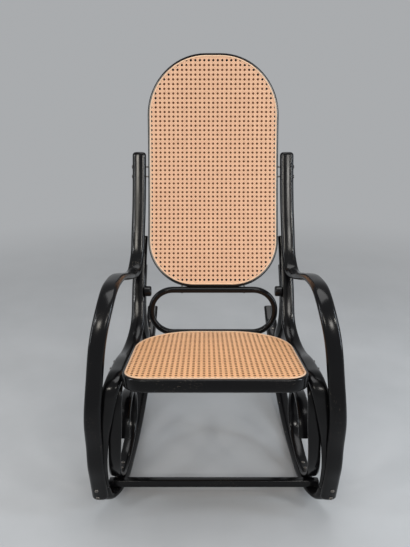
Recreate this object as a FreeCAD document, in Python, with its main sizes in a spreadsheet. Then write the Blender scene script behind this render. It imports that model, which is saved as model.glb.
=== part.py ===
import FreeCAD, Part
import math
import os
import Sketcher

Vector = FreeCAD.Vector
Rotation = FreeCAD.Rotation
Placement = FreeCAD.Placement

# Bentwood rocking chair with a cane seat and a cane back.
# It is drawn facing -Y, with +X to the right of someone who faces it, +Z up and the floor at z = 0.
# Reaches to the front and rear count from y = 0, close behind the line where the runners touch the floor.
# Sizes are in millimetres and degrees. At the end every piece moves along Y to centre the chair on its origin.

doc = FreeCAD.newDocument("rocking_chair")
sheet = doc.addObject("Spreadsheet::Sheet", "sizes")

DRIVING_SIZES = [
    ("strip_width", 38.0, "width of the bent side strips"),
    ("strip_thickness", 20.0, "thickness of the bent side strips"),
    ("strip_rounding", 5.0, "edge radius of the bent side strips"),
    ("strip_gap", 0.3, "clearance between two strips that lie on each other"),
    ("runner_radius", 950.0, "radius of the runners' underside"),
    ("rolling_line", 10.0, "reach of the line where the runners touch the floor, to the front"),
    ("runner_tail", 590.0, "reach of the runners to the rear"),
    ("runner_front", 236.0, "reach of the runners' round part to the front"),
    ("runner_spread", 250.0, "half distance between the runners' middles at y = 0"),
    ("runner_toe", 1.9, "angle by which each runner turns in towards the rear"),
    ("foot_forward", 283.0, "reach of the joint in each foot to the front"),
    ("foot_lean", 14.0, "lean of the feet"),
    ("foot_spread", 287.0, "half distance between the feet's middles"),
    ("foot_height", 71.0, "height of the lower end of the front legs"),
    ("foot_joint", 93.0, "height of the joint between the side band and the runner"),
    ("arm_height", 617.0, "height of the top of the arms"),
    ("arm_spread", 246.0, "half distance between the arms' middles at their front"),
    ("arm_forward", 351.0, "reach of the front legs to the front"),
    ("scroll_width", 28.0, "width of the scroll strips"),
    ("scroll_thickness", 14.0, "thickness of the scroll strips"),
    ("scroll_rounding", 4.5, "edge radius of the scroll strips"),
    ("scroll_top", 267.0, "height of the top of the scroll loop's middle line"),
    ("scroll_rear", 3.0, "reach of the scroll loop to the rear"),
    ("seat_width", 431.0, "width of the seat frame"),
    ("seat_depth", 418.0, "depth of the seat frame"),
    ("seat_front_radius", 56.0, "front corner radius of the seat frame"),
    ("seat_rear_radius", 168.0, "rear corner radius of the seat frame"),
    ("seat_bar", 26.0, "bar width of the seat frame"),
    ("seat_rim", 33.0, "bar height of the seat frame"),
    ("seat_forward", 357.0, "reach of the seat's front edge to the front"),
    ("seat_height", 442.0, "height of the seat frame's top at its front edge"),
    ("seat_tilt", 10.2, "fall of the seat towards the rear"),
    ("seat_run_drop", 20.0, "depth of the side bands' middle line under the seat frame's top"),
    ("back_width", 378.0, "width of the back frame"),
    ("back_length", 661.0, "height of the back frame along its chord"),
    ("back_foot_radius", 134.0, "lower corner radius of the back frame"),
    ("back_head_radius", 168.0, "upper corner radius of the back frame"),
    ("back_bar", 22.0, "bar width of the back frame"),
    ("back_bar_depth", 26.0, "bar depth of the back frame"),
    ("back_curve", 1700.0, "radius of the hollow front of the back"),
    ("back_recline", 16.0, "lean of the back"),
    ("back_rearward", 57.0, "reach of the back's lower front edge to the rear"),
    ("back_height", 508.0, "height of the back's lower edge"),
    ("upright_reach", 390.0, "length of the uprights beside the back frame from its foot"),
    ("band_reach", 150.0, "length of the side bands behind the uprights from the back's foot"),
    ("ring_width", 378.0, "width of the lumbar ring"),
    ("ring_height", 152.0, "height of the lumbar ring"),
    ("ring_radius", 73.0, "corner radius of the lumbar ring"),
    ("ring_bar", 17.0, "bar width of the lumbar ring"),
    ("ring_depth", 18.0, "bar depth of the lumbar ring"),
    ("ring_rounding", 5.0, "edge radius of the lumbar ring"),
    ("cane_thickness", 2.2, "thickness of the woven cane"),
    ("groove_inset", 5.0, "distance from a frame's outer side to its groove"),
    ("groove_width", 4.6, "width of the groove for the reed"),
    ("groove_depth", 3.0, "depth of the groove for the reed"),
    ("reed_proud", 3.0, "height of the reed over the frame"),
    ("stretcher_half", 279.0, "half length of the front stretcher"),
    ("stretcher_depth", 23.0, "size of the front stretcher from front to rear"),
    ("stretcher_height", 21.0, "height of the front stretcher"),
    ("stretcher_rounding", 4.0, "edge radius of the front stretcher"),
    ("peg_radius", 15.0, "radius of the pegs on the side bands"),
    ("peg_length", 19.0, "length of the pegs on the side bands"),
    ("peg_rounding", 2.5, "edge radius of the pegs"),
    ("screw_radius", 2.2, "shank radius of the screws"),
    ("screw_head_radius", 5.0, "head radius of the screws"),
    ("screw_head_height", 2.4, "head height of the screws"),
    ("screw_rounding", 1.6, "edge radius of the screw heads"),
    ("screw_hole_gap", 0.1, "clearance of the screws in their holes"),
    ("scroll_forward", 138.0, "reach of the joint between scroll and runner to the front"),
    ("seat_bolts_rearward", 130.0, "distance of the first seat bolt from the seat's front edge"),
    ("upright_clearance", 3.5, "clearance of the uprights beside the back at the back bolts"),
    ("strut_joint", 40.0, "distance of the struts' upper screws from the back's foot"),
    ("strut_landing", 98.0, "distance of the struts' lower screws from the runners' tails"),
    ("stretcher_forward", 226.0, "reach of the front stretcher's middle to the front"),
    ("stretcher_screw_spread", 262.0, "half distance between the screws of the front stretcher"),
    ("peg_drop", 11.0, "distance of the pegs' middle under the back's foot"),
    ("screw_pitch", 28.0, "distance between the two screws of a joint"),
    ("strip_screw_depth", 36.0, "depth of the screws that join two side strips"),
    ("scroll_screw_depth", 28.0, "depth of the screws in the scrolls"),
    ("frame_bolt_depth", 54.0, "depth of the bolts from the side strips into the seat and the back"),
    ("ring_bolt_depth", 27.0, "depth of the bolts of the lumbar ring"),
    ("ring_bolt_rearward", 3.0, "distance of the bolts into the back behind the ring's middle"),
    ("ring_bolt_spread", 90.0, "half distance between the bolts of the lumbar ring"),
    ("foot_screw_offset", 5.0, "distance of the foot screws outwards from the middle of the foot"),
]
for line, (alias, value, meaning) in enumerate(DRIVING_SIZES, start=1):
    sheet.set(f"A{line}", meaning)
    sheet.set(f"B{line}", str(value))
    sheet.setAlias(f"B{line}", alias)
doc.recompute()


def size(alias):
    return float(sheet.get(alias))


STRIP_WIDTH = size("strip_width")
STRIP_THICKNESS = size("strip_thickness")
STRIP_STEP = STRIP_THICKNESS + size("strip_gap")
BACK_LEAN = math.radians(size("back_recline"))
SEAT_FALL = math.radians(size("seat_tilt"))
RUNNER_MIDDLE = size("runner_radius") - STRIP_THICKNESS / 2
SIDES = (("left", -1), ("right", 1))


# Places in the seat's plane, on the back's curve and on the runners' curve

def seat_point(rearward, upward):
    y = -size("seat_forward") + rearward * math.cos(SEAT_FALL) + upward * math.sin(SEAT_FALL)
    z = size("seat_height") - rearward * math.sin(SEAT_FALL) + upward * math.cos(SEAT_FALL)
    return y, z


def back_point(upward, rearward):
    half_chord = size("back_length") / 2
    centre = math.sqrt(size("back_curve") ** 2 - half_chord ** 2)
    turn = math.asin((upward - half_chord) / size("back_curve"))
    radius = size("back_curve") + rearward
    along = half_chord + radius * math.sin(turn)
    across = radius * math.cos(turn) - centre
    y = size("back_rearward") + along * math.sin(BACK_LEAN) + across * math.cos(BACK_LEAN)
    z = size("back_height") + along * math.cos(BACK_LEAN) - across * math.sin(BACK_LEAN)
    return y, z


def runner_point(y, inward=0.0):
    radius = RUNNER_MIDDLE - inward
    return y, size("runner_radius") - math.sqrt(radius ** 2 - (y + size("rolling_line")) ** 2)


def ring_front():
    # The seat's rear face leans back, so the ring meets it where the rounding of the ring's bar begins
    lean = size("ring_rounding") / 2 * math.tan(SEAT_FALL)
    return seat_point(size("seat_depth"), 0)[0] - lean + size("strip_gap")


def ring_foot():
    # The back's lower face falls to the rear, so it meets the rounding of the ring's rear upper edge
    rounding = size("ring_rounding")
    beyond = ring_front() + size("ring_depth") - rounding - size("back_rearward")
    hub = size("back_height") - beyond * math.tan(BACK_LEAN) - (rounding + size("strip_gap")) / math.cos(BACK_LEAN)
    return hub + rounding - size("ring_height")


def runner_x(y):
    return size("runner_spread") - y * math.tan(math.radians(size("runner_toe")))


# Bent strips: one rounded section carried along a smooth line, its width always across the chair

def rounded_section(middle, across, through, width, thickness, rounding):
    half_w = width / 2
    half_t = thickness / 2
    edges = []
    corners = [(1, 1), (-1, 1), (-1, -1), (1, -1)]
    reach = rounding * math.sqrt(0.5)
    rims = []
    for sign_w, sign_t in corners:
        hub = middle + across * (sign_w * (half_w - rounding)) + through * (sign_t * (half_t - rounding))
        side = hub + across * (sign_w * rounding)
        flat = hub + through * (sign_t * rounding)
        mid = hub + across * (sign_w * reach) + through * (sign_t * reach)
        first, last = (side, flat) if sign_w * sign_t > 0 else (flat, side)
        rims.append((first, mid, last))
    for corner, (first, mid, last) in enumerate(rims):
        edges.append(Part.Arc(first, mid, last).toShape())
        edges.append(Part.LineSegment(last, rims[(corner + 1) % 4][0]).toShape())
    return Part.Wire(edges)


def strip_solid(route, width, thickness, rounding):
    curve = Part.BSplineCurve()
    curve.interpolate(route)
    start = curve.value(curve.FirstParameter)
    ahead = curve.tangent(curve.FirstParameter)[0]
    across = Vector(1, 0, 0)
    through = across.cross(ahead).normalize()
    pipe = Part.BRepOffsetAPI.MakePipeShell(Part.Wire([curve.toShape()]))
    pipe.setBiNormalMode(across)
    pipe.add(rounded_section(start, across, through, width, thickness, rounding))
    pipe.build()
    pipe.makeSolid()
    return pipe.shape()


def beside_back():
    return size("back_width") / 2 + size("strip_gap") + STRIP_WIDTH / 2


def beside_seat():
    return size("seat_width") / 2 + size("strip_gap") + STRIP_WIDTH / 2


def scroll_x():
    return size("seat_width") / 2 + STRIP_WIDTH / 2 + 7


def side_route(stations, sign):
    return [Vector(sign * x, y, z) for x, (y, z) in stations]


def foot_point(height, rearward=0.0):
    lean = math.radians(size("foot_lean"))
    downward = size("foot_joint") - height
    return -size("foot_forward") + downward * math.tan(lean) + rearward / math.cos(lean), height


def arm_stations():
    reach = size("upright_reach")
    half = STRIP_THICKNESS / 2
    beside = beside_back()
    arm = size("arm_height") - half
    arm_x = size("arm_spread")
    front = -size("arm_forward") + half
    foot = size("foot_spread")
    return [
        (beside + 3, back_point(reach, half)),
        (beside + 4, back_point(reach - 90, half)),
        (beside + 6, back_point(reach - 180, half)),
        (beside + 8, back_point(reach - 228, half)),
        (beside + 11, back_point(reach - 275, half)),
        (beside + 14, (107, arm - 15)),
        (beside + 19, (89, arm - 36)),
        (arm_x - 13, (62, arm - 43)),
        (arm_x - 9, (-10, arm - 36)),
        (arm_x - 6, (-110, arm - 10)),
        (arm_x - 3, (-175, arm)),
        (arm_x, (-234, arm - 1)),
        (arm_x + 8, (-276, arm - 34)),
        (arm_x + 19, (-302, arm - 84)),
        (arm_x + 30, (front + 18, arm - 187)),
        (arm_x + 38, (front, arm - 291)),
        (foot, (front + 11, arm - 364)),
        (foot + 1, foot_point(185, -STRIP_STEP)),
        (foot + 1, foot_point(150, -STRIP_STEP)),
        (foot + 1, foot_point(122, -STRIP_STEP)),
        (foot + 1, foot_point(size("foot_joint"), -STRIP_STEP)),
        (foot + 1, foot_point(size("foot_height"), -STRIP_STEP)),
    ]


def band_stations():
    half = STRIP_THICKNESS / 2
    drop = size("seat_run_drop")
    beside = beside_back()
    seat_side = beside_seat()
    front = -size("arm_forward") + half + STRIP_STEP
    foot = size("foot_spread")
    reach = size("band_reach")
    behind_upright = half + STRIP_STEP + size("strip_gap")
    return [
        (beside + 4, back_point(reach, behind_upright)),
        (beside + 7, back_point(reach - 75, behind_upright)),
        (beside + 8, back_point(reach - 115, behind_upright)),
        (beside + 9, back_point(reach - 150, behind_upright)),
        (beside + 9, (64, 458)),
        (beside + 11, (34, 404)),
        (seat_side - 6, (-20, 366)),
        (seat_side, seat_point(265, -drop - 7)),
        (seat_side, seat_point(200, -drop)),
        (seat_side, seat_point(145, -drop)),
        (seat_side, seat_point(110, -drop)),
        (seat_side + 1, seat_point(80, -drop - 3)),
        (seat_side + 7, seat_point(60, -drop - 20)),
        (seat_side + 17, (front + 7, 355)),
        (seat_side + 27, (front + 3, 310)),
        (foot - 12, (front + 12, 245)),
        (foot - 5, foot_point(185)),
        (foot - 2, foot_point(150)),
        (foot - 1, foot_point(122)),
        (foot - 1, foot_point(size("foot_joint") + 2 * size("strip_gap"))),
    ]


def runner_stations():
    foot = size("foot_spread")
    front = -size("runner_front")
    tail = size("runner_tail")
    spans = 9
    stations = [
        (foot - 1, foot_point(size("foot_joint"))),
        (foot - 3, foot_point(size("foot_height") + 3, 1)),
        (foot - 8, foot_point(48, 7)),
        (runner_x(front) + 9, runner_point(front)),
        (runner_x(front + 40) + 3, runner_point(front + 40)),
    ]
    rounded = front + 80
    for span in range(spans + 1):
        y = rounded + (tail - rounded) * span / spans
        stations.append((runner_x(y), runner_point(y)))
    return stations


def scroll_stations():
    half = size("scroll_thickness") / 2
    under_band = size("seat_run_drop") + STRIP_THICKNESS / 2 + size("strip_gap") + half
    x = scroll_x()
    forward = size("scroll_forward")
    top = size("scroll_top")
    rear = size("scroll_rear")
    on_runner = STRIP_THICKNESS / 2 + half + size("strip_gap")
    return [
        (x - 7, seat_point(165, -under_band)),
        (x - 7, seat_point(145, -under_band)),
        (x - 7, seat_point(125, -under_band - 1.2)),
        (x - 7, seat_point(96, -under_band - 12)),
        (x - 6, (-292, 345)),
        (x - 5, (-298, 290)),
        (x - 4, (-299, 235)),
        (x - 3, (-290, 180)),
        (x - 2, (-262, 122)),
        (x - 1, (-212, 74)),
        (x, runner_point(-forward - 20, on_runner + 1)),
        (x, runner_point(-forward, on_runner)),
        (x, runner_point(-forward + 20, on_runner + 1)),
        (x - 1, (-60, 55)),
        (x - 3, (rear - 20, 88)),
        (x - 4, (rear, 143)),
        (x - 5, (rear - 25, 205)),
        (x - 7, (rear - 90, top - 14)),
        (x - 9, (rear - 155, top)),
        (x - 10, (rear - 210, top - 14)),
        (x - 11, (rear - 238, top - 64)),
    ]


def strut_stations():
    half = STRIP_THICKNESS / 2
    beside = beside_back()
    behind_band = half + 2 * (STRIP_STEP + 2 * size("strip_gap"))
    lift = STRIP_STEP + size("strip_gap")
    landing = size("runner_tail") - 70
    return [
        (beside + 7, back_point(70, behind_band)),
        (beside + 8, back_point(40, behind_band)),
        (beside + 9, back_point(10, behind_band)),
        (beside + 11, (102, 430)),
        (beside + 14, (150, 345)),
        (beside + 17, (215, 278)),
        (runner_x(290) - 3, (290, 218)),
        (runner_x(360) - 1, (357, 167)),
        (runner_x(385), (385, 152)),
        (runner_x(415), (415, 147)),
        (runner_x(440), (440, 151)),
        (runner_x(landing - 58), runner_point(landing - 58, lift)),
        (runner_x(landing - 28), runner_point(landing - 28, lift)),
        (runner_x(landing), runner_point(landing, lift)),
    ]


def add_drilled(name, blank, places):
    holes = doc.addObject("Part::Feature", f"{name}_holes")
    holes.Shape = Part.makeCompound([hole_solid(*place) for place in places])
    drilled = doc.addObject("Part::Cut", name)
    drilled.Base = blank
    drilled.Tool = holes
    return drilled


def add_strip(name, stations, sign, section, places):
    strip = doc.addObject("Part::Feature", f"{name}_blank")
    strip.Shape = strip_solid(side_route(stations, sign), *section)
    return add_drilled(name, strip, places)


# Screws and bolts: each place holds the point under the head, the direction into the wood and the depth

def screw_solid(seat, inward, depth):
    head = Part.makeCylinder(size("screw_head_radius"), size("screw_head_height"), seat, -inward)
    crown = [edge for edge in head.Edges if (edge.CenterOfMass - seat).Length > size("screw_head_height") * 0.9
             and len(edge.Vertexes) == 1]
    shank = Part.makeCylinder(size("screw_radius"), depth, seat, inward)
    return head.makeFillet(size("screw_rounding"), crown).fuse(shank)


def hole_solid(seat, inward, depth):
    gap = size("screw_hole_gap")
    return Part.makeCylinder(size("screw_radius") + gap, depth + 2 * gap, seat - inward * gap, inward)


def add_screws(name, places):
    screws = doc.addObject("Part::Feature", name)
    screws.Shape = Part.makeCompound([screw_solid(*place) for place in places])
    return screws


def above_and_below(middle):
    half = size("screw_pitch") / 2
    return middle - half, middle + half


def runner_inward(y, z):
    # Direction from the outer side of the runner's round to its middle line
    to_centre = Vector(0, -size("rolling_line") - y, size("runner_radius") - z)
    return to_centre.normalize()


def foot_screw_places(sign):
    lean = math.radians(size("foot_lean"))
    inward = Vector(0, math.cos(lean), math.sin(lean))
    surface = -STRIP_STEP - STRIP_THICKNESS / 2 - size("strip_gap")
    x = sign * (size("foot_spread") + size("foot_screw_offset"))
    places = []
    for height in above_and_below(size("foot_joint")):
        places.append((Vector(x, *foot_point(height, surface)), inward, size("strip_screw_depth")))
    return places


def scroll_screw_places(sign):
    # The scroll already rises a little from the runner at its screws
    surface = STRIP_THICKNESS / 2 + size("scroll_thickness") + 4 * size("strip_gap")
    places = []
    for forward in above_and_below(size("scroll_forward")):
        y, z = runner_point(-forward, surface)
        places.append((Vector(sign * scroll_x(), y, z), -runner_inward(y, z), size("scroll_screw_depth")))
    return places


def seat_bolt_places(sign):
    x = sign * (beside_seat() + STRIP_WIDTH / 2 + size("strip_gap"))
    inward = Vector(-sign, 0, 0)
    places = []
    for rearward in (size("seat_bolts_rearward"), size("seat_bolts_rearward") + 2 * size("screw_pitch")):
        y, z = seat_point(rearward, -size("seat_run_drop"))
        places.append((Vector(x, y, z), inward, size("frame_bolt_depth")))
    return places


def back_bolt_places(sign):
    x = sign * (beside_back() + size("upright_clearance") + STRIP_WIDTH / 2 + size("strip_gap"))
    inward = Vector(-sign, 0, 0)
    places = []
    for below in above_and_below(2 * size("screw_pitch")):
        y, z = back_point(size("upright_reach") - below, STRIP_THICKNESS / 2)
        places.append((Vector(x, y, z), inward, size("frame_bolt_depth")))
    return places


def ring_back_bolt_places(sign):
    y = ring_front() + size("ring_depth") / 2 + size("ring_bolt_rearward")
    z = ring_foot() + size("ring_height") - size("ring_bar") - size("strip_gap")
    return [(Vector(sign * size("ring_bolt_spread"), y, z), Vector(0, 0, 1), size("ring_bolt_depth"))]


def ring_seat_bolt_places(sign):
    y = ring_front() + size("ring_depth") + size("strip_gap")
    z = ring_foot() + size("ring_bar") / 2
    return [(Vector(sign * size("ring_bolt_spread"), y, z), Vector(0, -1, 0), size("ring_bolt_depth"))]


def stretcher_screw_places(sign):
    y, z = runner_point(-size("stretcher_forward"), -STRIP_THICKNESS / 2 - size("strip_gap"))
    return [(Vector(sign * size("stretcher_screw_spread"), y, z), runner_inward(y, z), size("strip_screw_depth"))]


def strut_screw_places(sign):
    # Two through the strut's upper end into the side band and two through its landing into the runner
    surface = STRIP_THICKNESS / 2 + 4 * size("strip_gap")
    places = []
    for upward in above_and_below(size("strut_joint")):
        y, z = back_point(upward, STRIP_THICKNESS / 2 + 2 * (STRIP_STEP + size("strip_gap")) + surface)
        inner = back_point(upward, 0)
        inward = Vector(0, inner[0] - y, inner[1] - z).normalize()
        places.append((Vector(sign * (beside_back() + 7), y, z), inward, size("strip_screw_depth")))
    for rearward in above_and_below(size("runner_tail") - size("strut_landing")):
        y, z = runner_point(rearward, STRIP_STEP + surface)
        places.append((Vector(sign * runner_x(rearward), y, z), -runner_inward(y, z), size("strip_screw_depth")))
    return places


def both_sides(places_of):
    return places_of(-1) + places_of(1)


# Rounded frames and sheets drawn in a plane of their own

def plane_of(body, role):
    for feature in body.Origin.OriginFeatures:
        if feature.Role == role:
            return feature
    raise ValueError(role)


def add_loop(sketch, tag, half_width, length, near_radius, far_radius, inset):
    # A closed outline from v = inset to v = length - inset; near and far are its two ends
    first = sketch.GeometryCount
    half_value = size(half_width) / 2 - inset[1]
    far_value = size(length) - inset[1]
    near_r = size(near_radius) - inset[1]
    far_r = size(far_radius) - inset[1]
    low = inset[1]
    quarter = math.pi / 2
    up = Vector(0, 0, 1)

    def line(u1, v1, u2, v2):
        return Part.LineSegment(Vector(u1, v1, 0), Vector(u2, v2, 0))

    def arc(u, v, radius, start):
        return Part.ArcOfCircle(Part.Circle(Vector(u, v, 0), up, radius), start, start + quarter)

    sketch.addGeometry([
        line(-half_value + near_r, low, half_value - near_r, low),
        arc(half_value - near_r, low + near_r, near_r, -quarter),
        line(half_value, low + near_r, half_value, far_value - far_r),
        arc(half_value - far_r, far_value - far_r, far_r, 0),
        line(half_value - far_r, far_value, -half_value + far_r, far_value),
        arc(-half_value + far_r, far_value - far_r, far_r, quarter),
        line(-half_value, far_value - far_r, -half_value, low + near_r),
        arc(-half_value + near_r, low + near_r, near_r, 2 * quarter),
    ], False)
    for step in range(8):
        here = first + step
        following = first + (step + 1) % 8
        sketch.addConstraint(Sketcher.Constraint("Tangent", here, 2, following, 1))
    sketch.addConstraint(Sketcher.Constraint("Horizontal", first))
    sketch.addConstraint(Sketcher.Constraint("Horizontal", first + 4))
    sketch.addConstraint(Sketcher.Constraint("Vertical", first + 2))
    sketch.addConstraint(Sketcher.Constraint("Vertical", first + 6))
    dimensions = [
        ("near_right", Sketcher.Constraint("Radius", first + 1, near_r), f"sizes.{near_radius} - {inset[0]}"),
        ("near_left", Sketcher.Constraint("Radius", first + 7, near_r), f"sizes.{near_radius} - {inset[0]}"),
        ("far_right", Sketcher.Constraint("Radius", first + 3, far_r), f"sizes.{far_radius} - {inset[0]}"),
        ("far_left", Sketcher.Constraint("Radius", first + 5, far_r), f"sizes.{far_radius} - {inset[0]}"),
        ("right", Sketcher.Constraint("DistanceX", -1, 1, first + 2, 1, half_value),
         f"sizes.{half_width} / 2 - {inset[0]}"),
        ("left", Sketcher.Constraint("DistanceX", first + 6, 1, -1, 1, half_value),
         f"sizes.{half_width} / 2 - {inset[0]}"),
        ("far", Sketcher.Constraint("DistanceY", -1, 1, first + 4, 1, far_value),
         f"sizes.{length} - {inset[0]}"),
    ]
    if inset[1] > 0:
        near = Sketcher.Constraint("DistanceY", -1, 1, first, 1, low)
        dimensions.append(("near", near, inset[0]))
    else:
        sketch.addConstraint(Sketcher.Constraint("PointOnObject", first, 1, -1))
    for label, constraint, formula in dimensions:
        index = sketch.addConstraint(constraint)
        sketch.renameConstraint(index, f"{tag}_{label}")
        sketch.setExpression(f"Constraints.{tag}_{label}", formula)


def inset_of(*aliases):
    formula = " + ".join(f"sizes.{alias}" for alias in aliases)
    return (f"({formula})" if aliases else "0", sum(size(alias) for alias in aliases))


def add_panel(name, outline, insets, role, depth_formula, reverse=False):
    body = doc.addObject("PartDesign::Body", name)
    sketch = body.newObject("Sketcher::SketchObject", f"{name}_outline")
    sketch.AttachmentSupport = [(plane_of(body, role), "")]
    sketch.MapMode = "FlatFace"
    for number, inset in enumerate(insets):
        add_loop(sketch, f"loop{number}", *outline, inset)
    pad = body.newObject("PartDesign::Pad", f"{name}_pad")
    pad.Profile = sketch
    pad.Reversed = reverse
    pad.setExpression("Length", depth_formula)
    return body


SEAT_OUTLINE = ("seat_width", "seat_depth", "seat_front_radius", "seat_rear_radius")
BACK_OUTLINE = ("back_width", "back_length", "back_foot_radius", "back_head_radius")
RING_OUTLINE = ("ring_width", "ring_height", "ring_radius", "ring_radius")
OUTSIDE = inset_of()
GROOVE_OUT = inset_of("groove_inset")
GROOVE_IN = inset_of("groove_inset", "groove_width")
CANE_EDGE = inset_of("groove_inset", "groove_width", "strip_gap")


def add_seat():
    fall = Placement(Vector(0, -size("seat_forward"), size("seat_height")), Rotation(Vector(1, 0, 0), -size("seat_tilt")))
    blank = add_panel("seat_blank", SEAT_OUTLINE, [OUTSIDE, inset_of("seat_bar")], "XY_Plane", "sizes.seat_rim", True)
    groove = blank.newObject("Sketcher::SketchObject", "seat_groove_outline")
    groove.AttachmentSupport = [(plane_of(blank, "XY_Plane"), "")]
    groove.MapMode = "FlatFace"
    add_loop(groove, "outer", *SEAT_OUTLINE, GROOVE_OUT)
    add_loop(groove, "inner", *SEAT_OUTLINE, GROOVE_IN)
    doc.recompute()
    pocket = blank.newObject("PartDesign::Pocket", "seat_groove")
    pocket.Profile = groove
    pocket.setExpression("Length", "sizes.groove_depth")
    cane = add_panel("seat_cane", SEAT_OUTLINE, [CANE_EDGE], "XY_Plane", "sizes.cane_thickness")
    reed = add_panel("seat_reed", SEAT_OUTLINE, [GROOVE_OUT, GROOVE_IN], "XY_Plane",
                     "sizes.reed_proud + sizes.groove_depth")
    for body in (blank, cane):
        body.Placement = fall
    reed.Placement = fall.multiply(Placement(Vector(0, 0, -size("groove_depth")), Rotation()))
    frame = add_drilled("seat_frame", blank, both_sides(seat_bolt_places) + both_sides(ring_seat_bolt_places))
    return [frame, cane, reed]


def add_back():
    # Each layer of the back is its outline's tall prism kept between two rollers with one axis across the chair
    half_chord = size("back_length") / 2
    axis_forward = math.sqrt(size("back_curve") ** 2 - half_chord ** 2)
    lean = Placement(Vector(0, size("back_rearward"), size("back_height")), Rotation(Vector(1, 0, 0), -size("back_recline")))

    def roller(name, formula):
        cylinder = doc.addObject("Part::Cylinder", name)
        cylinder.setExpression("Radius", formula)
        cylinder.setExpression("Height", "sizes.back_width + 20")
        cylinder.Placement = Placement(Vector(-size("back_width") / 2 - 10, -axis_forward, half_chord),
                                       Rotation(Vector(0, 1, 0), 90))
        return cylinder

    def layer(name, insets, inner, outer):
        prism = add_panel(f"{name}_prism", BACK_OUTLINE, insets, "XZ_Plane", "sizes.back_length")
        prism.Placement = Placement(Vector(0, half_chord, 0), Rotation())
        shell = doc.addObject("Part::Cut", f"{name}_shell")
        shell.Base = roller(f"{name}_outer_roller", outer)
        shell.Tool = roller(f"{name}_inner_roller", inner)
        part = doc.addObject("Part::Common", name)
        part.Base = prism
        part.Tool = shell
        return part

    blank = layer("back_blank", [OUTSIDE, inset_of("back_bar")], "sizes.back_curve",
                  "sizes.back_curve + sizes.back_bar_depth")
    channel = layer("back_channel", [GROOVE_OUT, GROOVE_IN], "sizes.back_curve - sizes.groove_depth",
                    "sizes.back_curve + sizes.groove_depth")
    grooved = doc.addObject("Part::Cut", "back_grooved")
    grooved.Base = blank
    grooved.Tool = channel
    cane = layer("back_cane", [CANE_EDGE], "sizes.back_curve - sizes.cane_thickness", "sizes.back_curve")
    reed = layer("back_reed", [GROOVE_OUT, GROOVE_IN], "sizes.back_curve - sizes.reed_proud",
                 "sizes.back_curve + sizes.groove_depth")
    for part in (grooved, cane, reed):
        part.Placement = lean
    frame = add_drilled("back_frame", grooved, both_sides(back_bolt_places) + both_sides(ring_back_bolt_places))
    return [frame, cane, reed]


def add_ring():
    ring = add_panel("ring_blank", RING_OUTLINE, [OUTSIDE, inset_of("ring_bar")], "XZ_Plane", "sizes.ring_depth", True)
    doc.recompute()
    fillet = ring.newObject("PartDesign::Fillet", "lumbar_ring_edges")
    pad = ring.Group[1]
    names = []
    for number, edge in enumerate(pad.Shape.Edges, start=1):
        ends = [vertex.Point.y for vertex in edge.Vertexes]
        if abs(ends[0] - ends[-1]) < 0.01:
            names.append(f"Edge{number}")
    fillet.Base = (pad, names)
    fillet.setExpression("Radius", "sizes.ring_rounding")
    ring.Placement = Placement(Vector(0, ring_front(), ring_foot()), Rotation())
    return add_drilled("lumbar_ring", ring, both_sides(ring_back_bolt_places) + both_sides(ring_seat_bolt_places))


def add_stretcher():
    bar = doc.addObject("Part::Box", "front_stretcher_bar")
    bar.setExpression("Length", "sizes.stretcher_half * 2")
    bar.setExpression("Width", "sizes.stretcher_depth")
    bar.setExpression("Height", "sizes.stretcher_height")
    doc.recompute()
    rounded = doc.addObject("Part::Fillet", "front_stretcher_rounded")
    rounded.Base = bar
    rounded.Edges = [(number, size("stretcher_rounding"), size("stretcher_rounding")) for number in range(1, 13)]
    y, z = runner_point(-size("stretcher_forward"), STRIP_THICKNESS / 2 + 2 * size("strip_gap"))
    upward = runner_inward(y, z)
    turn = Rotation(Vector(0, 0, 1), upward)
    middle = Vector(-size("stretcher_half"), -size("stretcher_depth") / 2, 0)
    rounded.Placement = Placement(Vector(0, y, z) + turn.multVec(middle), turn)
    return add_drilled("front_stretcher", rounded, both_sides(stretcher_screw_places))


def add_peg(name, sign):
    y, z = back_point(-size("peg_drop"), STRIP_THICKNESS / 2 + STRIP_STEP - size("peg_radius"))
    inner_face = size("back_width") / 2 + size("strip_gap") + 9
    shank = doc.addObject("Part::Cylinder", f"{name}_shank")
    shank.setExpression("Radius", "sizes.peg_radius")
    shank.setExpression("Height", "sizes.peg_length")
    doc.recompute()
    peg = doc.addObject("Part::Fillet", name)
    peg.Base = shank
    peg.Edges = [(3, size("peg_rounding"), size("peg_rounding"))]
    peg.Placement = Placement(Vector(sign * (inner_face - size("strip_gap")), y, z), Rotation(Vector(0, 1, 0), -90 * sign))
    return peg


parts = []
for side, sign in SIDES:
    wood = (STRIP_WIDTH, STRIP_THICKNESS, size("strip_rounding"))
    thin = (size("scroll_width"), size("scroll_thickness"), size("scroll_rounding"))
    foot = foot_screw_places(sign)
    scroll = scroll_screw_places(sign)
    strut = strut_screw_places(sign)
    in_band = foot + seat_bolt_places(sign) + strut
    in_runner = foot + scroll + strut + stretcher_screw_places(sign)
    parts.append(add_strip(f"arm_upright_{side}", arm_stations(), sign, wood, foot + back_bolt_places(sign)))
    parts.append(add_strip(f"side_band_{side}", band_stations(), sign, wood, in_band))
    parts.append(add_strip(f"runner_{side}", runner_stations(), sign, wood, in_runner))
    parts.append(add_strip(f"rear_strut_{side}", strut_stations(), sign, wood, strut))
    parts.append(add_strip(f"scroll_{side}", scroll_stations(), sign, thin, scroll))
    parts.append(add_peg(f"peg_{side}", sign))
parts += add_seat()
parts += add_back()
parts.append(add_ring())
parts.append(add_stretcher())
parts.append(add_screws("foot_screws", both_sides(foot_screw_places)))
parts.append(add_screws("scroll_screws", both_sides(scroll_screw_places)))
parts.append(add_screws("strut_screws", both_sides(strut_screw_places)))
parts.append(add_screws("stretcher_screws", both_sides(stretcher_screw_places)))
parts.append(add_screws("seat_bolts", both_sides(seat_bolt_places)))
parts.append(add_screws("back_bolts", both_sides(back_bolt_places)))
parts.append(add_screws("ring_bolts", both_sides(ring_back_bolt_places) + both_sides(ring_seat_bolt_places)))
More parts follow.
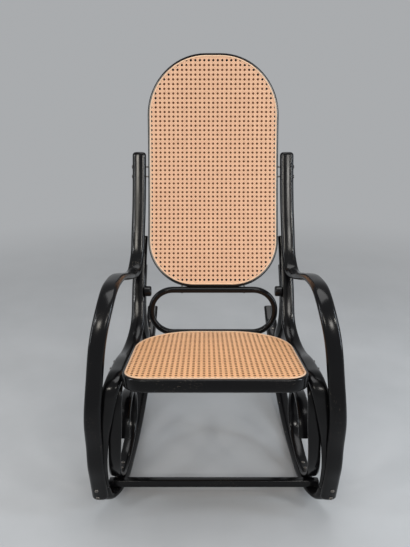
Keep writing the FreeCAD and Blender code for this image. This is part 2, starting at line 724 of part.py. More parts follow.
doc.recompute()

# The chair's middle, from the foremost to the rearmost point, goes to y = 0
reach = Part.makeCompound([part.Shape for part in parts]).optimalBoundingBox(False)
for part in parts:
    part.Placement.Base.y -= (reach.YMin + reach.YMax) / 2
doc.recompute()

for item in doc.Objects:
    if "Invalid" in item.State or "Error" in item.State:
        raise RuntimeError(f"{item.Name} failed: {item.State}")
for part in parts:
    if part.Shape.isNull() or not part.Shape.isValid():
        raise RuntimeError(f"{part.Name} has no valid shape")

os.makedirs("parts", exist_ok=True)
for part in parts:
    part.Label = part.Name
    part.Shape.exportStep(os.path.join("parts", f"{part.Label}.step"))
    box = part.Shape.BoundBox
    print(part.Label, len(part.Shape.Solids), round(part.Shape.Volume), [round(v) for v in (
        box.XMin, box.YMin, box.ZMin, box.XMax, box.YMax, box.ZMax)])
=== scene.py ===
import math

import bpy
import numpy as np
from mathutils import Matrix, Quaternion, Vector


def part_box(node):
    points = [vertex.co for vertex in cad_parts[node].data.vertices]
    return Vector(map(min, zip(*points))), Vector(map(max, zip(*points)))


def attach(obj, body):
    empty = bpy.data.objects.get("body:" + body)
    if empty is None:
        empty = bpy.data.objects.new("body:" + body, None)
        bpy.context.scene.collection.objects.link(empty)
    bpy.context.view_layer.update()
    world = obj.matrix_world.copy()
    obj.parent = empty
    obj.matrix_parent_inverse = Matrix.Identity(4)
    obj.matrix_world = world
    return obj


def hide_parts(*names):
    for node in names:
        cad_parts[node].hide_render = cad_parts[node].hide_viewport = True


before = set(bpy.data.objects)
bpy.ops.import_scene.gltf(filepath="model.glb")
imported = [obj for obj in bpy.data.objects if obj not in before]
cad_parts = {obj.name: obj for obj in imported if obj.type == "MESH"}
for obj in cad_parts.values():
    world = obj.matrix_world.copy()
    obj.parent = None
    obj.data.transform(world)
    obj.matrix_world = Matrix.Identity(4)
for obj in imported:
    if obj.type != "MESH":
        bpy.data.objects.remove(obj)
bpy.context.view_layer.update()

# Sizes are in millimetres here, and a piece's points are scaled to metres as its mesh is made.
# Y is counted from the origin of the part's source and shifted so that the seat frame meets its solid.
# The stations of the bent strips are (x, (y, z)) read from the photo, from one end of the strip to the other.

STRIP_WIDTH = 38.0
BULGED_WIDTH = 39.5
STRIP_THICKNESS = 20.0
GAP = 0.3
STRIP_STEP = STRIP_THICKNESS + GAP
SCROLL_WIDTH = 31.0
SCROLL_THICKNESS = 14.0
RUNNER_RADIUS = 950.0
ROLLING_LINE = 10.0
RUNNER_TAIL = 590.0
RUNNER_FRONT = -236.0
RUNNER_SPREAD = 250.0
RUNNER_SPLAY = math.radians(1.9)
FOOT_SPREAD = 287.0
FOOT_Y = -283.0
FOOT_JOINT = 93.0
FOOT_LEAN = math.radians(14)
ARM_HEIGHT, ARM_SPREAD, ARM_FRONT = 617.0, 246.0, -351.0
BAND_REACH = 150.0
SEAT_WIDTH, SEAT_DEPTH, SEAT_RIM, SEAT_BAR = 431.0, 418.0, 33.0, 26.0
SEAT_RADII = (56.0, 168.0)
SEAT_FALL = math.radians(10.2)
SEAT_FRONT_Y, SEAT_TOP = -357.0, 442.0
SEAT_RUN_DROP = 20.0
BACK_WIDTH, BACK_LENGTH, BACK_BAR, BACK_DEPTH = 378.0, 661.0, 22.0, 26.0
BACK_RADII = (134.0, 168.0)
BACK_CURVE = 1700.0
BACK_LEAN = math.radians(16)
BACK_FOOT_Y, BACK_FOOT_TOP = 57.0, 508.0
UPRIGHT_REACH = 390.0
UPRIGHT_OUTWARD, STRUT_OUTWARD, SCROLL_OUTWARD = 7.0, 7.0, 7.0
RING_WIDTH, RING_HEIGHT, RING_BAR, RING_DEPTH = 378.0, 152.0, 17.0, 18.0
RING_RADII = (73.0, 73.0)
RING_ROUND, RING_SEAT_DROP, RING_BACK_ROOM = 5.0, 2.5, 5.3
CANE_PITCH = 12.7
STRETCHER_HALF, STRETCHER_DEPTH, STRETCHER_HEIGHT, STRETCHER_FORWARD = 279.0, 23.0, 21.0, 226.0
STRETCHER_SCREW_X = 262.0
PEG_RADIUS, PEG_LENGTH, PEG_DROP, PEG_DOME, PEG_OUTWARD = 15.0, 19.0, 11.0, 5.0, 9.0
SCREW_RADIUS, SCREW_POINT, SCREW_TIP = 2.2, 3.0, 0.4
HEAD_RADIUS, HEAD_HEIGHT = 5.0, 2.4
SCREW_PITCH, STRIP_SCREW_DEPTH, SCROLL_SCREW_DEPTH = 28.0, 36.0, 28.0
FRAME_BOLT_DEPTH, RING_BOLT_DEPTH, RING_BOLT_SPREAD = 54.0, 27.0, 90.0
SEAT_BOLT_REACH = 130.0
SCROLL_FORWARD, SCROLL_TURN, SCROLL_TOP, SCROLL_REAR = 138.0, 15.0, 267.0, 3.0
REED_HALF, REED_RISE, REED_MIDDLE, REED_LIFT, REED_FOOT = 2.0, 2.0, 8.0, 0.6, -1.0
WEAVE_INSET, WEAVE_LEVEL, REAR_LEVEL, REAR_STEPS, PAINTED_SHADE_HEIGHT = 6.6, 0.15, -0.7, 2, -0.1
MM = 0.001
PATH_STEP, END_STEPS = 5.0, 6
FRONT_LOWER_EDGE = SEAT_FRONT_Y - SEAT_RIM * math.sin(SEAT_FALL)
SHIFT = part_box("seat_frame")[0][1] / MM - FRONT_LOWER_EDGE


def seat_point(rearward, upward):
    y = SEAT_FRONT_Y + rearward * math.cos(SEAT_FALL) + upward * math.sin(SEAT_FALL)
    z = SEAT_TOP - rearward * math.sin(SEAT_FALL) + upward * math.cos(SEAT_FALL)
    return y, z


def back_point(upward, rearward):
    half = BACK_LENGTH / 2
    turn = np.arcsin((upward - half) / BACK_CURVE)
    radius = BACK_CURVE + rearward
    along = half + radius * np.sin(turn)
    across = radius * np.cos(turn) - math.sqrt(BACK_CURVE ** 2 - half ** 2)
    y = BACK_FOOT_Y + along * math.sin(BACK_LEAN) + across * math.cos(BACK_LEAN)
    z = BACK_FOOT_TOP + along * math.cos(BACK_LEAN) - across * math.sin(BACK_LEAN)
    return y, z


def runner_point(y, inward=0.0):
    radius = RUNNER_RADIUS - STRIP_THICKNESS / 2 - inward
    return y, RUNNER_RADIUS - math.sqrt(radius ** 2 - (y + ROLLING_LINE) ** 2)


def runner_x(y):
    return RUNNER_SPREAD - y * math.tan(RUNNER_SPLAY)


def foot_point(height, rearward=0.0):
    y = FOOT_Y + (FOOT_JOINT - height) * math.tan(FOOT_LEAN) + rearward / math.cos(FOOT_LEAN)
    return y, height


BESIDE_BACK = BACK_WIDTH / 2 + GAP + STRIP_WIDTH / 2
BESIDE_SEAT = SEAT_WIDTH / 2 + GAP + STRIP_WIDTH / 2
SCROLL_X = SEAT_WIDTH / 2 + STRIP_WIDTH / 2 + SCROLL_OUTWARD
SEAT = (SEAT_WIDTH, SEAT_DEPTH, SEAT_RADII)
BACK = (BACK_WIDTH, BACK_LENGTH, BACK_RADII)
RING = (RING_WIDTH, RING_HEIGHT, RING_RADII)
RING_FRONT = seat_point(SEAT_DEPTH, 0)[0] - RING_SEAT_DROP * math.tan(SEAT_FALL) + GAP
RING_BEYOND = RING_FRONT + RING_DEPTH - RING_ROUND - BACK_FOOT_Y
RING_REST = BACK_FOOT_TOP - RING_BEYOND * math.tan(BACK_LEAN) - RING_BACK_ROOM / math.cos(BACK_LEAN)
RING_FOOT = RING_REST + RING_ROUND - RING_HEIGHT


def arm_stations():
    reach, half = UPRIGHT_REACH, STRIP_THICKNESS / 2
    arm, arm_x, front, foot = ARM_HEIGHT - half, ARM_SPREAD, ARM_FRONT + half, FOOT_SPREAD
    beside = BESIDE_BACK
    return [
        (beside + UPRIGHT_OUTWARD, back_point(reach, half)),
        (beside + 7.5, back_point(reach - 90, half)),
        (beside + 9, back_point(reach - 180, half)),
        (beside + 11, back_point(reach - 250, half)),
        (beside + 13, back_point(reach - 300, half)),
        (beside + 15, (95, 571)),
        (beside + 19, (75, 551)),
        (beside + 24, (45, 549)),
        (arm_x - 11, (-10, 564)),
        (arm_x - 7, (-70, 583)),
        (arm_x - 3, (-125, 600)),
        (arm_x - 1, (-178, arm)),
        (arm_x + 1, (-230, arm - 2)),
        (arm_x + 8, (-275, arm - 35)),
        (arm_x + 18, (-302, arm - 84)),
        (arm_x + 30, (front + 18, arm - 187)),
        (arm_x + 38, (front, arm - 291)),
        (foot - 1, (front + 11, arm - 364)),
        (foot, foot_point(185, -STRIP_STEP)),
        (foot, foot_point(150, -STRIP_STEP)),
        (foot, foot_point(122, -STRIP_STEP)),
        (foot, foot_point(FOOT_JOINT, -STRIP_STEP)),
        (foot, foot_point(71, -STRIP_STEP)),
    ]


def band_stations():
    half, drop, reach, foot = STRIP_THICKNESS / 2, SEAT_RUN_DROP, BAND_REACH, FOOT_SPREAD
    front = ARM_FRONT + half + STRIP_STEP
    behind = half + STRIP_STEP + GAP
    beside, side = BESIDE_BACK, BESIDE_SEAT
    return [
        (beside + 4, back_point(reach, behind)),
        (beside + 7, back_point(reach - 75, behind)),
        (beside + 8, back_point(reach - 115, behind)),
        (beside + 9, back_point(reach - 150, behind)),
        (beside + 9, (64, 458)),
        (beside + 11, (34, 404)),
        (side - 6, (-20, 366)),
        (side, seat_point(265, -drop - 7)),
        (side, seat_point(200, -drop)),
        (side, seat_point(145, -drop)),
        (side, seat_point(110, -drop)),
        (side + 1, seat_point(80, -drop - 3)),
        (side + 7, seat_point(60, -drop - 20)),
        (side + 17, (front + 7, 355)),
        (side + 27, (front + 3, 310)),
        (foot - 12, (front + 12, 245)),
        (foot - 5, foot_point(185)),
        (foot - 2, foot_point(150)),
        (foot - 1, foot_point(122)),
        (foot - 1, foot_point(FOOT_JOINT + 2 * GAP)),
    ]


def runner_stations():
    stations = [
        (FOOT_SPREAD - 1, foot_point(FOOT_JOINT)),
        (FOOT_SPREAD - 3, foot_point(74, 1)),
        (FOOT_SPREAD - 8, foot_point(48, 7)),
        (runner_x(RUNNER_FRONT) + 9, runner_point(RUNNER_FRONT)),
        (runner_x(RUNNER_FRONT + 40) + 3, runner_point(RUNNER_FRONT + 40)),
    ]
    for y in np.linspace(RUNNER_FRONT + 80, RUNNER_TAIL, 10):
        stations.append((runner_x(y), runner_point(y)))
    return stations


def scroll_stations():
    half = SCROLL_THICKNESS / 2
    under = SEAT_RUN_DROP + STRIP_THICKNESS / 2 + GAP + half
    on_runner = STRIP_THICKNESS / 2 + half + GAP
    x, top, rear, forward = SCROLL_X, SCROLL_TOP, SCROLL_REAR, SCROLL_FORWARD
    return [
        (x - 6, seat_point(165, -under)),
        (x - 6, seat_point(145, -under)),
        (x - 6, seat_point(125, -under - 1.2)),
        (x - 6, seat_point(96, -under - 12)),
        (x - 5, (-292, 345)),
        (x - 3, (-298, 290)),
        (x + 1, (-299, 235)),
        (x + 6, (-290, 180)),
        (x + 11, (-262, 122)),
        (x + 14, (-212, 74)),
        (x + SCROLL_TURN, runner_point(-forward - 20, on_runner + 1)),
        (x + SCROLL_TURN, runner_point(-forward, on_runner)),
        (x + SCROLL_TURN - 1, runner_point(-forward + 20, on_runner + 1)),
        (x + 8, (-60, 55)),
        (x + 3, (rear - 20, 88)),
        (x, (rear, 143)),
        (x - 3, (rear - 25, 205)),
        (x - 6, (rear - 90, top - 14)),
        (x - 9, (rear - 155, top)),
        (x - 10, (rear - 210, top - 14)),
        (x - 11, (rear - 238, top - 64)),
    ]


def strut_stations():
    half = STRIP_THICKNESS / 2
    behind = half + 2 * (STRIP_STEP + 2 * GAP)
    lift = STRIP_STEP + GAP
    landing = RUNNER_TAIL - 70
    beside = BESIDE_BACK
    return [
        (beside + STRUT_OUTWARD, back_point(70, behind)),
        (beside + 8, back_point(40, behind)),
        (beside + 9, back_point(10, behind)),
        (beside + 11, (102, 430)),
        (beside + 14, (150, 345)),
        (beside + 17, (215, 278)),
        (runner_x(290) - 3, (290, 218)),
        (runner_x(360) - 1, (357, 167)),
        (runner_x(385), (385, 152)),
        (runner_x(415), (415, 147)),
        (runner_x(440), (440, 151)),
        (runner_x(landing - 58), runner_point(landing - 58, lift)),
        (runner_x(landing - 28), runner_point(landing - 28, lift)),
        (runner_x(landing), runner_point(landing, lift)),
    ]


# Materials

def new_material(name):
    material = bpy.data.materials.new(name)
    material.use_nodes = True
    nodes = material.node_tree.nodes
    return material, nodes, material.node_tree.links, nodes["Principled BSDF"]


def add_node(nodes, kind, **settings):
    node = nodes.new(kind)
    for key, value in settings.items():
        if key in node.inputs:
            node.inputs[key].default_value = value
        else:
            setattr(node, key.lower(), value)
    return node


def ramp(nodes, links, factor, stops):
    # A colour ramp through (position, colour) stops
    node = nodes.new("ShaderNodeValToRGB")
    elements = node.color_ramp.elements
    while len(elements) < len(stops):
        elements.new(0.5)
    for element, (place, colour) in zip(elements, stops):
        element.position = place
        element.color = (*colour, 1.0)
    links.new(factor, node.inputs["Fac"])
    return node.outputs["Color"]


def noise(nodes, links, vector, **settings):
    node = add_node(nodes, "ShaderNodeTexNoise", **settings)
    links.new(vector, node.inputs["Vector"])
    return node.outputs["Fac"]


def combine(nodes, links, operation, first, second):
    node = add_node(nodes, "ShaderNodeMath", operation=operation)
    links.new(first, node.inputs[0])
    links.new(second, node.inputs[1])
    return node.outputs["Value"]


def add_bump(nodes, links, shader, height, strength, distance):
    bump = add_node(nodes, "ShaderNodeBump", Strength=strength, Distance=distance)
    links.new(height, bump.inputs["Height"])
    links.new(bump.outputs["Normal"], shader.inputs["Normal"])


def grey(value):
    return (value, value, value)


def scaled_coordinates(nodes, links, source, scale):
    coordinates = nodes.new("ShaderNodeTexCoord")
    mapping = nodes.new("ShaderNodeMapping")
    mapping.inputs["Scale"].default_value = scale
    links.new(coordinates.outputs[source], mapping.inputs["Vector"])
    return mapping.outputs["Vector"]


def lacquer_material(name, wear):
    # Black gloss lacquer with dull rubbed patches, hair scratches along the strip and small chips low down
    material, nodes, links, shader = new_material(name)
    along = scaled_coordinates(nodes, links, "UV", (6.0, 90.0, 1.0))
    body = scaled_coordinates(nodes, links, "Object", (1.0, 1.0, 1.0))
    patches = noise(nodes, links, body, Scale=9.0, Detail=5.0, Roughness=0.6)
    rough = ramp(nodes, links, patches, [(0.35, grey(0.13)), (0.75, grey(0.27))])
    links.new(rough, shader.inputs["Roughness"])
    hair = noise(nodes, links, along, Scale=14.0, Detail=3.0, Roughness=0.55)
    lines = ramp(nodes, links, hair, [(0.66, grey(0.0)), (0.70, grey(1.0))])
    where = ramp(nodes, links, patches, [(0.62 - wear, grey(0.0)), (0.74 - wear, grey(1.0))])
    scratches = combine(nodes, links, "MULTIPLY", lines, where)
    cells = add_node(nodes, "ShaderNodeTexVoronoi", Scale=95.0)
    links.new(body, cells.inputs["Vector"])
    specks = ramp(nodes, links, cells.outputs["Distance"], [(0.10, grey(1.0)), (0.16, grey(0.0))])
    few = [(0.955 - wear, grey(0.0)), (0.96 - wear, grey(1.0))]
    chosen = ramp(nodes, links, cells.outputs["Color"], few)
    split = nodes.new("ShaderNodeSeparateXYZ")
    links.new(body, split.inputs["Vector"])
    low = ramp(nodes, links, split.outputs["Z"], [(0.06, grey(1.0)), (0.30, grey(0.0))])
    chips = combine(nodes, links, "MULTIPLY", specks, chosen)
    low_chips = combine(nodes, links, "MULTIPLY", chips, low)
    marks = combine(nodes, links, "MAXIMUM", scratches, low_chips)
    colour = ramp(nodes, links, marks, [(0.0, (0.0030, 0.0029, 0.0033)), (1.0, (0.30, 0.25, 0.20))])
    links.new(colour, shader.inputs["Base Color"])
    ripple = noise(nodes, links, body, Scale=38.0, Detail=2.0)
    heights = add_node(nodes, "ShaderNodeMath", operation="MULTIPLY_ADD")
    heights.inputs[1].default_value = -0.35
    links.new(marks, heights.inputs[0])
    links.new(ripple, heights.inputs[2])
    add_bump(nodes, links, shader, heights.outputs["Value"], 0.05, 0.002)
    shader.inputs["Specular IOR Level"].default_value = 0.22
    return material


def cane_material(name, dark, light, gloss):
    # Split cane: long fibres, knots of darker tone and strands that differ a little from each other
    material, nodes, links, shader = new_material(name)
    fibres = scaled_coordinates(nodes, links, "UV", (30.0, 900.0, 1.0))
    strands = scaled_coordinates(nodes, links, "UV", (4.0, 150.0, 1.0))
    fine = noise(nodes, links, fibres, Scale=3.0, Detail=4.0, Roughness=0.6)
    tone = noise(nodes, links, strands, Scale=1.0, Detail=3.0, Roughness=0.6)
    mean = add_node(nodes, "ShaderNodeMix", data_type="FLOAT")
    mean.inputs["Factor"].default_value = 0.5
    links.new(fine, mean.inputs["A"])
    links.new(tone, mean.inputs["B"])
    lightest = tuple(part * 1.14 for part in light)
    colour = ramp(nodes, links, mean.outputs["Result"], [(0.28, dark), (0.50, light), (0.75, lightest)])
    links.new(colour, shader.inputs["Base Color"])
    rough = ramp(nodes, links, fine, [(0.3, grey(gloss)), (0.7, grey(gloss + 0.18))])
    links.new(rough, shader.inputs["Roughness"])
    add_bump(nodes, links, shader, fine, 0.35, 0.0004)
    return material


def plain_noise_material(name, dark, light, scale, roughness, metallic=0.0, specular=0.5):
    material, nodes, links, shader = new_material(name)
    body = scaled_coordinates(nodes, links, "Object", (1.0, 1.0, 1.0))
    tone = noise(nodes, links, body, Scale=scale, Detail=5.0, Roughness=0.6)
    colour = ramp(nodes, links, tone, [(0.35, dark), (0.65, light)])
    links.new(colour, shader.inputs["Base Color"])
    rough = ramp(nodes, links, tone, [(0.3, grey(roughness)), (0.7, grey(roughness + 0.15))])
    links.new(rough, shader.inputs["Roughness"])
    add_bump(nodes, links, shader, tone, 0.2, 0.0005)
    shader.inputs["Metallic"].default_value = metallic
    shader.inputs["Specular IOR Level"].default_value = specular
    return material


LACQUER = lacquer_material("black_lacquer", 0.0)
WORN_LACQUER = lacquer_material("black_lacquer_worn", 0.07)
# The seat cane is lighter and more orange than the back cane: partly the cane's own tone, partly painted
# light for the stronger light on the seat; the back cane's colour is made a little darker, partly painted
# shade
CANE = cane_material("cane_strands", (0.45, 0.238, 0.133), (0.62, 0.362, 0.222), 0.40)
SEAT_CANE_PAINTED_LIGHT = cane_material("cane_seat_strands_painted_light", (0.56, 0.280, 0.125), (0.80, 0.445, 0.230), 0.40)
REED = cane_material("cane_reed", (0.52, 0.33, 0.20), (0.66, 0.44, 0.29), 0.42)
# Painted shade: the dark brown of the sheet behind the cane, standing in for the shade seen through its holes
PAINTED_HOLE_SHADE = plain_noise_material("cane_painted_hole_shade", (0.085, 0.033, 0.015), (0.135, 0.054, 0.025), 90.0, 0.8,
                              specular=0.1)
METAL = plain_noise_material("blackened_steel", (0.05, 0.046, 0.042), (0.24, 0.22, 0.20), 500.0, 0.30,
                             metallic=1.0)


# Meshes

def mesh_object(name, points, faces, uvs, material, nodes_replaced):
    mesh = bpy.data.meshes.new(name)
    placed = np.array(points, dtype=float)
    placed[:, 1] += SHIFT
    mesh.from_pydata((placed * MM).tolist(), [], faces)
    layer = mesh.uv_layers.new(name="along")
    loops = np.empty(len(mesh.loops), dtype=np.int32)
    mesh.loops.foreach_get("vertex_index", loops)
    layer.data.foreach_set("uv", (np.array(uvs, dtype=float)[loops] * MM).ravel())
    mesh.polygons.foreach_set("use_smooth", [True] * len(mesh.polygons))
    mesh.materials.append(material)
    mesh.update()
    piece = bpy.data.objects.new(name, mesh)
    bpy.context.scene.collection.objects.link(piece)
    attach(piece, "root")
    if nodes_replaced:
        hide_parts(*nodes_replaced)
    return piece


def spline_through(stations, sign, step):
    # A cubic spline through the stations with its knots spaced by chord length, sampled at even steps
    points = np.array([(sign * x, y, z) for x, (y, z) in stations], dtype=float)
    knots = np.concatenate([[0.0], np.cumsum(np.linalg.norm(np.diff(points, axis=0), axis=1))])
    count = len(points)
    gaps = np.diff(knots)
    system = np.zeros((count, count))
    right = np.zeros((count, 3))

    def end_slope(a, b, c):
        first = (points[b] - points[a]) / (knots[b] - knots[a])
        second = (points[c] - points[b]) / (knots[c] - knots[b])
        return first + (first - second) * (knots[b] - knots[a]) / (knots[c] - knots[a])

    system[0, 0] = 1.0
    right[0] = end_slope(0, 1, 2)
    system[-1, -1] = 1.0
    right[-1] = end_slope(count - 1, count - 2, count - 3)
    for i in range(1, count - 1):
        system[i, i - 1] = gaps[i]
        system[i, i] = 2 * (gaps[i - 1] + gaps[i])
        system[i, i + 1] = gaps[i - 1]
        before = (points[i] - points[i - 1]) / gaps[i - 1]
        after = (points[i + 1] - points[i]) / gaps[i]
        right[i] = 3 * (gaps[i] * before + gaps[i - 1] * after)
    slopes = np.linalg.solve(system, right)
    places = np.linspace(0, knots[-1], int(knots[-1] / step) + 2)
    index = np.clip(np.searchsorted(knots, places, side="right") - 1, 0, count - 2)
    gap = gaps[index][:, None]
    t = (places - knots[index])[:, None] / gap
    a, b = points[index], points[index + 1]
    da, db = slopes[index] * gap, slopes[index + 1] * gap
    leaving = (2 * t**3 - 3 * t**2 + 1) * a + (t**3 - 2 * t**2 + t) * da
    return leaving + (3 * t**2 - 2 * t**3) * b + (t**3 - t**2) * db


def bar_section(width, thickness, rounding, crown, corner_steps=6, face_steps=6):
    # Rounded corners, crowned faces and sides that bulge a third as much, counted anticlockwise
    half_w, half_t = width / 2, thickness / 2
    section = []
    for quarter, (cx, cy) in enumerate(((1, 1), (-1, 1), (-1, -1), (1, -1))):
        for step in range(corner_steps + 1):
            angle = math.pi / 2 * (quarter + step / corner_steps)
            x = cx * (half_w - rounding) + rounding * math.cos(angle)
            y = cy * (half_t - rounding) + rounding * math.sin(angle)
            section.append((x, y))
        if quarter % 2 == 0:
            for step in range(1, face_steps):
                x = cx * (half_w - rounding) * (1 - 2 * step / face_steps)
                section.append((x, cy * half_t))
    points = np.array(section)
    across, through = points[:, 0] / half_w, points[:, 1] / half_t
    fallen = points.copy()
    fallen[:, 1] -= crown * through * across ** 2
    fallen[:, 0] -= crown / 3 * across * through ** 2
    return fallen


def add_quads(faces, base, rings, count):
    for ring in range(rings - 1):
        for k in range(count):
            after = (k + 1) % count
            low, high = base + ring * count, base + (ring + 1) * count
            faces.append((low + k, low + after, high + after, high + k))


def swept_strip(name, stations, sign, section_size, material, node, end_rounding):
    # end_rounding is how far the ends are eased (across, through) the strip
    width, thickness, rounding, crown = section_size
    rounded, thinned = end_rounding
    path = spline_through(stations, sign, PATH_STEP)
    ahead = np.gradient(path, axis=0)
    ahead[:, 0] = 0.0
    ahead /= np.linalg.norm(ahead, axis=1)[:, None]
    across = np.array([1.0, 0.0, 0.0])
    through = np.cross(across, ahead)
    section = bar_section(width, thickness, rounding, crown)
    distance = np.concatenate([[0.0], np.cumsum(np.linalg.norm(np.diff(path, axis=0), axis=1))])
    rings, along = [], []

    def ring(centre, outward, sunk):
        shrunk = section * np.array([1 - 2 * sunk * rounded / width, 1 - 2 * sunk * thinned / thickness])
        return centre + shrunk[:, :1] * across + shrunk[:, 1:] * outward

    def end_rings(centre, tangent, outward):
        eased = []
        for step in range(END_STEPS + 1):
            angle = math.pi / 2 * step / END_STEPS
            place = centre + tangent * rounded * (1 - math.cos(angle))
            eased.append(ring(place, outward, 1 - math.sin(angle)))
        return eased

    rings += end_rings(path[0], ahead[0], through[0])
    along += [0.0] * len(rings)
    for i in range(1, len(path) - 1):
        if rounded + 1 < distance[i] < distance[-1] - rounded - 1:
            rings.append(ring(path[i], through[i], 0.0))
            along.append(distance[i])
    last_rings = end_rings(path[-1], -ahead[-1], through[-1])
    rings += reversed(last_rings)
    along += [distance[-1]] * len(last_rings)
    count = len(section)
    around = np.concatenate([[0.0], np.cumsum(np.linalg.norm(np.diff(section, axis=0), axis=1))])
    uvs = [(run, turn) for run in along for turn in around]
    faces = [tuple(range(count))]
    add_quads(faces, 0, len(rings), count)
    last = (len(rings) - 1) * count
    faces.append(tuple(last + k for k in reversed(range(count))))
    return mesh_object(name, np.concatenate(rings), faces, uvs, material, [node])


def outline(width, length, radii, inset, corner_steps=18, side_steps=10):
    # Points on the rounded outline of a frame, from the middle of its near end, with the near end at v = 0
    half = width / 2 - inset
    near, far = radii[0] - inset, radii[1] - inset
    low, high = inset, length - inset
    corners = [
        (half - near, low + near, near, -math.pi / 2),
        (half - far, high - far, far, 0.0),
        (-half + far, high - far, far, math.pi / 2),
        (-half + near, low + near, near, math.pi),
    ]
    points = []
    for number, (u, v, radius, start) in enumerate(corners):
        arc = []
        for k in range(corner_steps + 1):
            angle = start + math.pi / 2 * k / corner_steps
            arc.append((u + radius * math.cos(angle), v + radius * math.sin(angle)))
        points += arc
        following = corners[(number + 1) % 4]
        nu = following[0] + following[2] * math.cos(following[3])
        nv = following[1] + following[2] * math.sin(following[3])
        for step in range(1, side_steps):
            t = step / side_steps
            points.append((arc[-1][0] * (1 - t) + nu * t, arc[-1][1] * (1 - t) + nv * t))
    return points


def swept_frame(name, size, section, place, material, node):
    # section holds (inset from the outline, height) all round the bar; place turns (v, height) into (y, z)
    width, length, radii = size
    loops = [outline(width, length, radii, inset) for inset, _ in section]
    count = len(loops[0])
    points, uvs = [], []
    travelled = 0.0
    for k in range(count):
        if k:
            travelled += math.dist(loops[0][k], loops[0][k - 1])
        around = 0.0
        for row, (inset, height) in enumerate(section):
            if row:
                around += math.dist(section[row], section[row - 1])
            u, v = loops[row][k]
            points.append((u, *place(v, height)))
            uvs.append((travelled, around))
    rows = len(section)
    faces = []
    for k in range(count):
        after = (k + 1) % count
        for row in range(rows):
            following = (row + 1) % rows
            faces.append((k * rows + row, k * rows + following, after * rows + following, after * rows + row))
    return mesh_object(name, points, faces, uvs, material, [node])


def frame_section(bar, depth, outer, inner, steps=5):
    # A bar's section: outer and inner hold the roundings (top, bottom) of its outer and inner sides
    section = []

    def corner(inset, height, radius, start):
        for step in range(steps + 1):
            angle = start + math.pi / 2 * step / steps
            section.append((inset + radius * math.cos(angle), height + radius * math.sin(angle)))

    corner(bar - inner[0], -inner[0], inner[0], 0.0)
    corner(outer[0], -outer[0], outer[0], math.pi / 2)
    corner(outer[1], -depth + outer[1], outer[1], math.pi)
    corner(bar - inner[1], -depth + inner[1], inner[1], 1.5 * math.pi)
    return section


def inside(u, v, width, length, radii, inset):
    half, low, high = width / 2 - inset, inset, length - inset
    near, far = radii[0] - inset, radii[1] - inset
    u = np.abs(u)
    within = (u <= half) & (v >= low) & (v <= high)
    hub_near = (u > half - near) & (v < low + near)
    within &= ~hub_near | (np.hypot(u - half + near, v - low - near) <= near)
    hub_far = (u > half - far) & (v > high - far)
    within &= ~hub_far | (np.hypot(u - half + far, v - high + far) <= far)
    return within


def weave(name, size, inset, place, replaced, level, per_pitch, seed, material, flip=1.0):
    # Six-way cane: pairs of upright and level strands woven over and under each other, and two sets of
    # diagonals that pass between them and leave octagonal holes
    width, length, radii = size
    rng = np.random.default_rng(seed)
    spread, strand, slanting, wave, swing = 1.65, 2.75, 2.8, 0.30, 0.62
    points, faces, uvs = [], [], []
    start = -CANE_PITCH * math.ceil(width / CANE_PITCH)
    middle_v = length / 2

    def ribbon(line_u, line_v, height, half_width):
        keep = inside(line_u, line_v, width, length, radii, inset)
        if keep.sum() < 3:
            return
        first, last = np.argmax(keep), len(keep) - np.argmax(keep[::-1])
        u, v, h = line_u[first:last], line_v[first:last], height[first:last]
        du, dv = np.gradient(u), np.gradient(v)
        norm = np.hypot(du, dv)
        nu, nv = -dv / norm * half_width, du / norm * half_width
        run = np.concatenate([[0.0], np.cumsum(np.hypot(np.diff(u), np.diff(v)))]) + rng.uniform(0, 900)
        side = rng.uniform(0, 900)
        base = len(points)
        for k in range(len(u)):
            for edge, drop in ((-1, 0.16), (0, 0.0), (1, 0.16)):
                pu, pv = u[k] + edge * nu[k], v[k] + edge * nv[k]
                points.append((pu, *place(pv, level + flip * (h[k] - drop))))
                uvs.append((run[k], side + edge * half_width))
        for k in range(len(u) - 1):
            a = base + 3 * k
            for row in (0, 1):
                faces.append((a + row, a + row + 1, a + row + 4, a + row + 3))

    fine = CANE_PITCH / per_pitch
    v_line = np.arange(-CANE_PITCH, length + CANE_PITCH, fine)
    u_line = np.arange(start, -start + fine, fine)
    turn = 2 * math.pi / CANE_PITCH
    columns = int(width / CANE_PITCH) // 2 + 1
    rows = int(length / CANE_PITCH) // 2 + 1
    for column in range(-columns, columns + 1):
        for sign in (-1, 1):
            u = np.full_like(v_line, (column + 0.5) * CANE_PITCH + sign * spread)
            ribbon(u, v_line, 1.0 + sign * wave * np.sin(turn * (v_line - middle_v)), strand / 2)
    for row in range(-rows, rows + 1):
        for sign in (-1, 1):
            v = np.full_like(u_line, middle_v + row * CANE_PITCH + sign * spread)
            ribbon(u_line, v, 1.0 - sign * wave * np.sin(turn * (u_line - CANE_PITCH / 2)), strand / 2)
    for line in range(-rows - columns - 1, rows + columns + 2):
        for slope in (-1, 1):
            v = middle_v + slope * (u_line - CANE_PITCH / 2) + (line + 0.5) * CANE_PITCH
            height = 1.0 + slope * swing * np.cos(turn * (u_line - CANE_PITCH / 2))
            ribbon(u_line, v, height, slanting / 2)
    return mesh_object(name, points, faces, uvs, material, replaced)


def painted_shade_sheet(name, size, inset, place, height):
    # A thin dark sheet of painted shade, in rings that shrink towards the middle of the outline; it stands in
    # for the shade seen through the cane's holes
    width, length, radii = size
    edge = outline(width, length, radii, inset)
    points, uvs, faces = [], [], []
    rings = 14
    centre_v = length / 2
    for ring in range(rings + 1):
        t = 1 - ring / rings
        for u, v in edge:
            pu, pv = u * t, centre_v + (v - centre_v) * t
            points.append((pu, *place(pv, height)))
            uvs.append((pu, pv))
    add_quads(faces, 0, rings + 1, len(edge))
    return mesh_object(name, points, faces, uvs, PAINTED_HOLE_SHADE, [])


